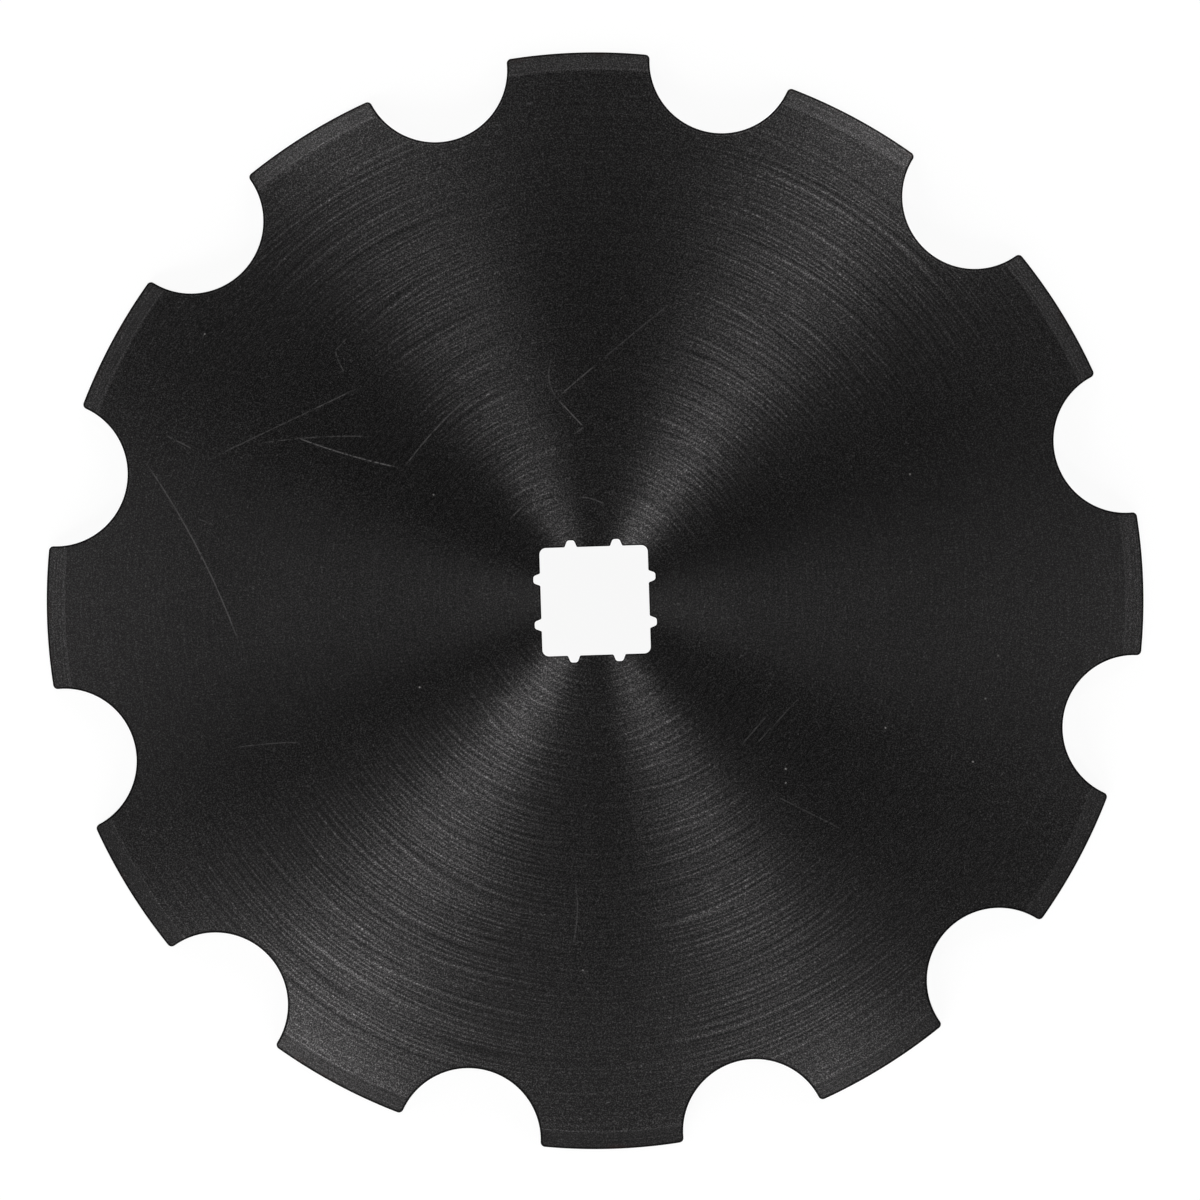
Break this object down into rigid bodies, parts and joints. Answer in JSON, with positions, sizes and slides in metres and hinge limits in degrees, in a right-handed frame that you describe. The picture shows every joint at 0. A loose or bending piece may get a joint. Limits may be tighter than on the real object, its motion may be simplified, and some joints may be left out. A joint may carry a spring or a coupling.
{
  "type": "harrow disc blade",
  "caption": "Shallow dished steel disc with round rim notches, bevelled tooth tips and a relieved square axle hole, for a small disc harrow.",
  "frame": {"origin": "on the axle's axis, in the plane that the tooth tips' edge rests on, with the hollow side down", "axes": "+Z along the gang axle out of the crown side, +X through the middle of a tooth and square to one side of the axle hole"},
  "size_m": [0.3048, 0.3048, 0.0282],
  "materials": {
    "blade_steel": "satin"
  },
  "bodies": {
    "root": {"disc_blade": "blade_steel"}
  },
  "joints": []
}
